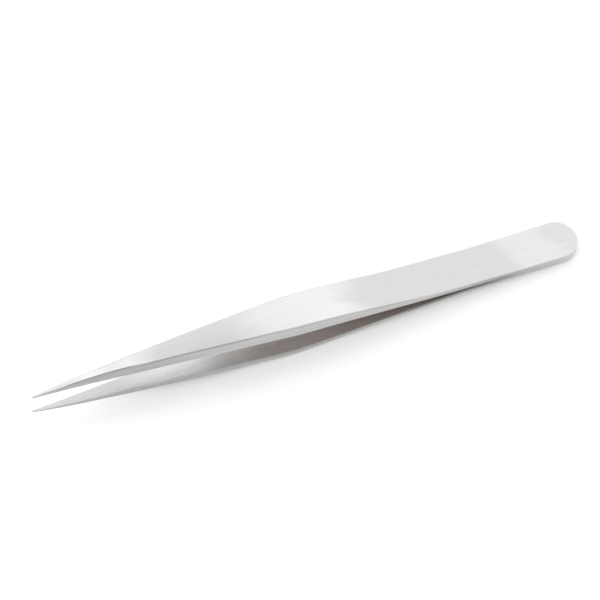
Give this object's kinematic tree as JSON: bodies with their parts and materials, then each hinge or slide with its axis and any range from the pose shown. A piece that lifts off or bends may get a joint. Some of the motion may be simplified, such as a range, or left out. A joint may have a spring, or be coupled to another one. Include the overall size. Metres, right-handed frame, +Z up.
{
  "type": "precision tweezers",
  "caption": "Straight, fine-pointed spring steel tweezers: flat arms spot welded at the rounded tail, thickened at the belly and tapering to sharp tips; squeezing the belly closes the tips.",
  "frame": {"origin": "middle of the footprint, on the surface that the tweezers lie on", "axes": "+X along the length towards the tips, +Y across the width of the arms, +Z up, the way the jaws open"},
  "size_m": [0.12, 0.009, 0.0121],
  "materials": {
    "satin_steel": "satin, fine grain along the arm",
    "weld_steel": "matte, once melted"
  },
  "bodies": {
    "joined_tail": {"upper_arm_tail": "satin_steel", "lower_arm_tail": "satin_steel", "weld_nugget_rear": "weld_steel", "weld_nugget_front": "weld_steel"},
    "upper_arm": {"upper_arm_blade": "satin_steel"},
    "lower_arm": {"lower_arm_blade": "satin_steel"}
  },
  "joints": [
    {"name": "upper_arm_flex", "type": "hinge", "parent": "joined_tail", "child": "upper_arm", "pos_m": [-0.03304, 0, 0.00369], "axis": [0, 1, 0], "range_deg": [0, 1.5], "stiffness_Nm_per_rad": 7.4},
    {"name": "lower_arm_flex", "type": "hinge", "parent": "joined_tail", "child": "lower_arm", "pos_m": [-0.03293, 0, 0.0019], "axis": [0, -1, 0], "range_deg": [0, 1.5], "stiffness_Nm_per_rad": 7.4}
  ]
}
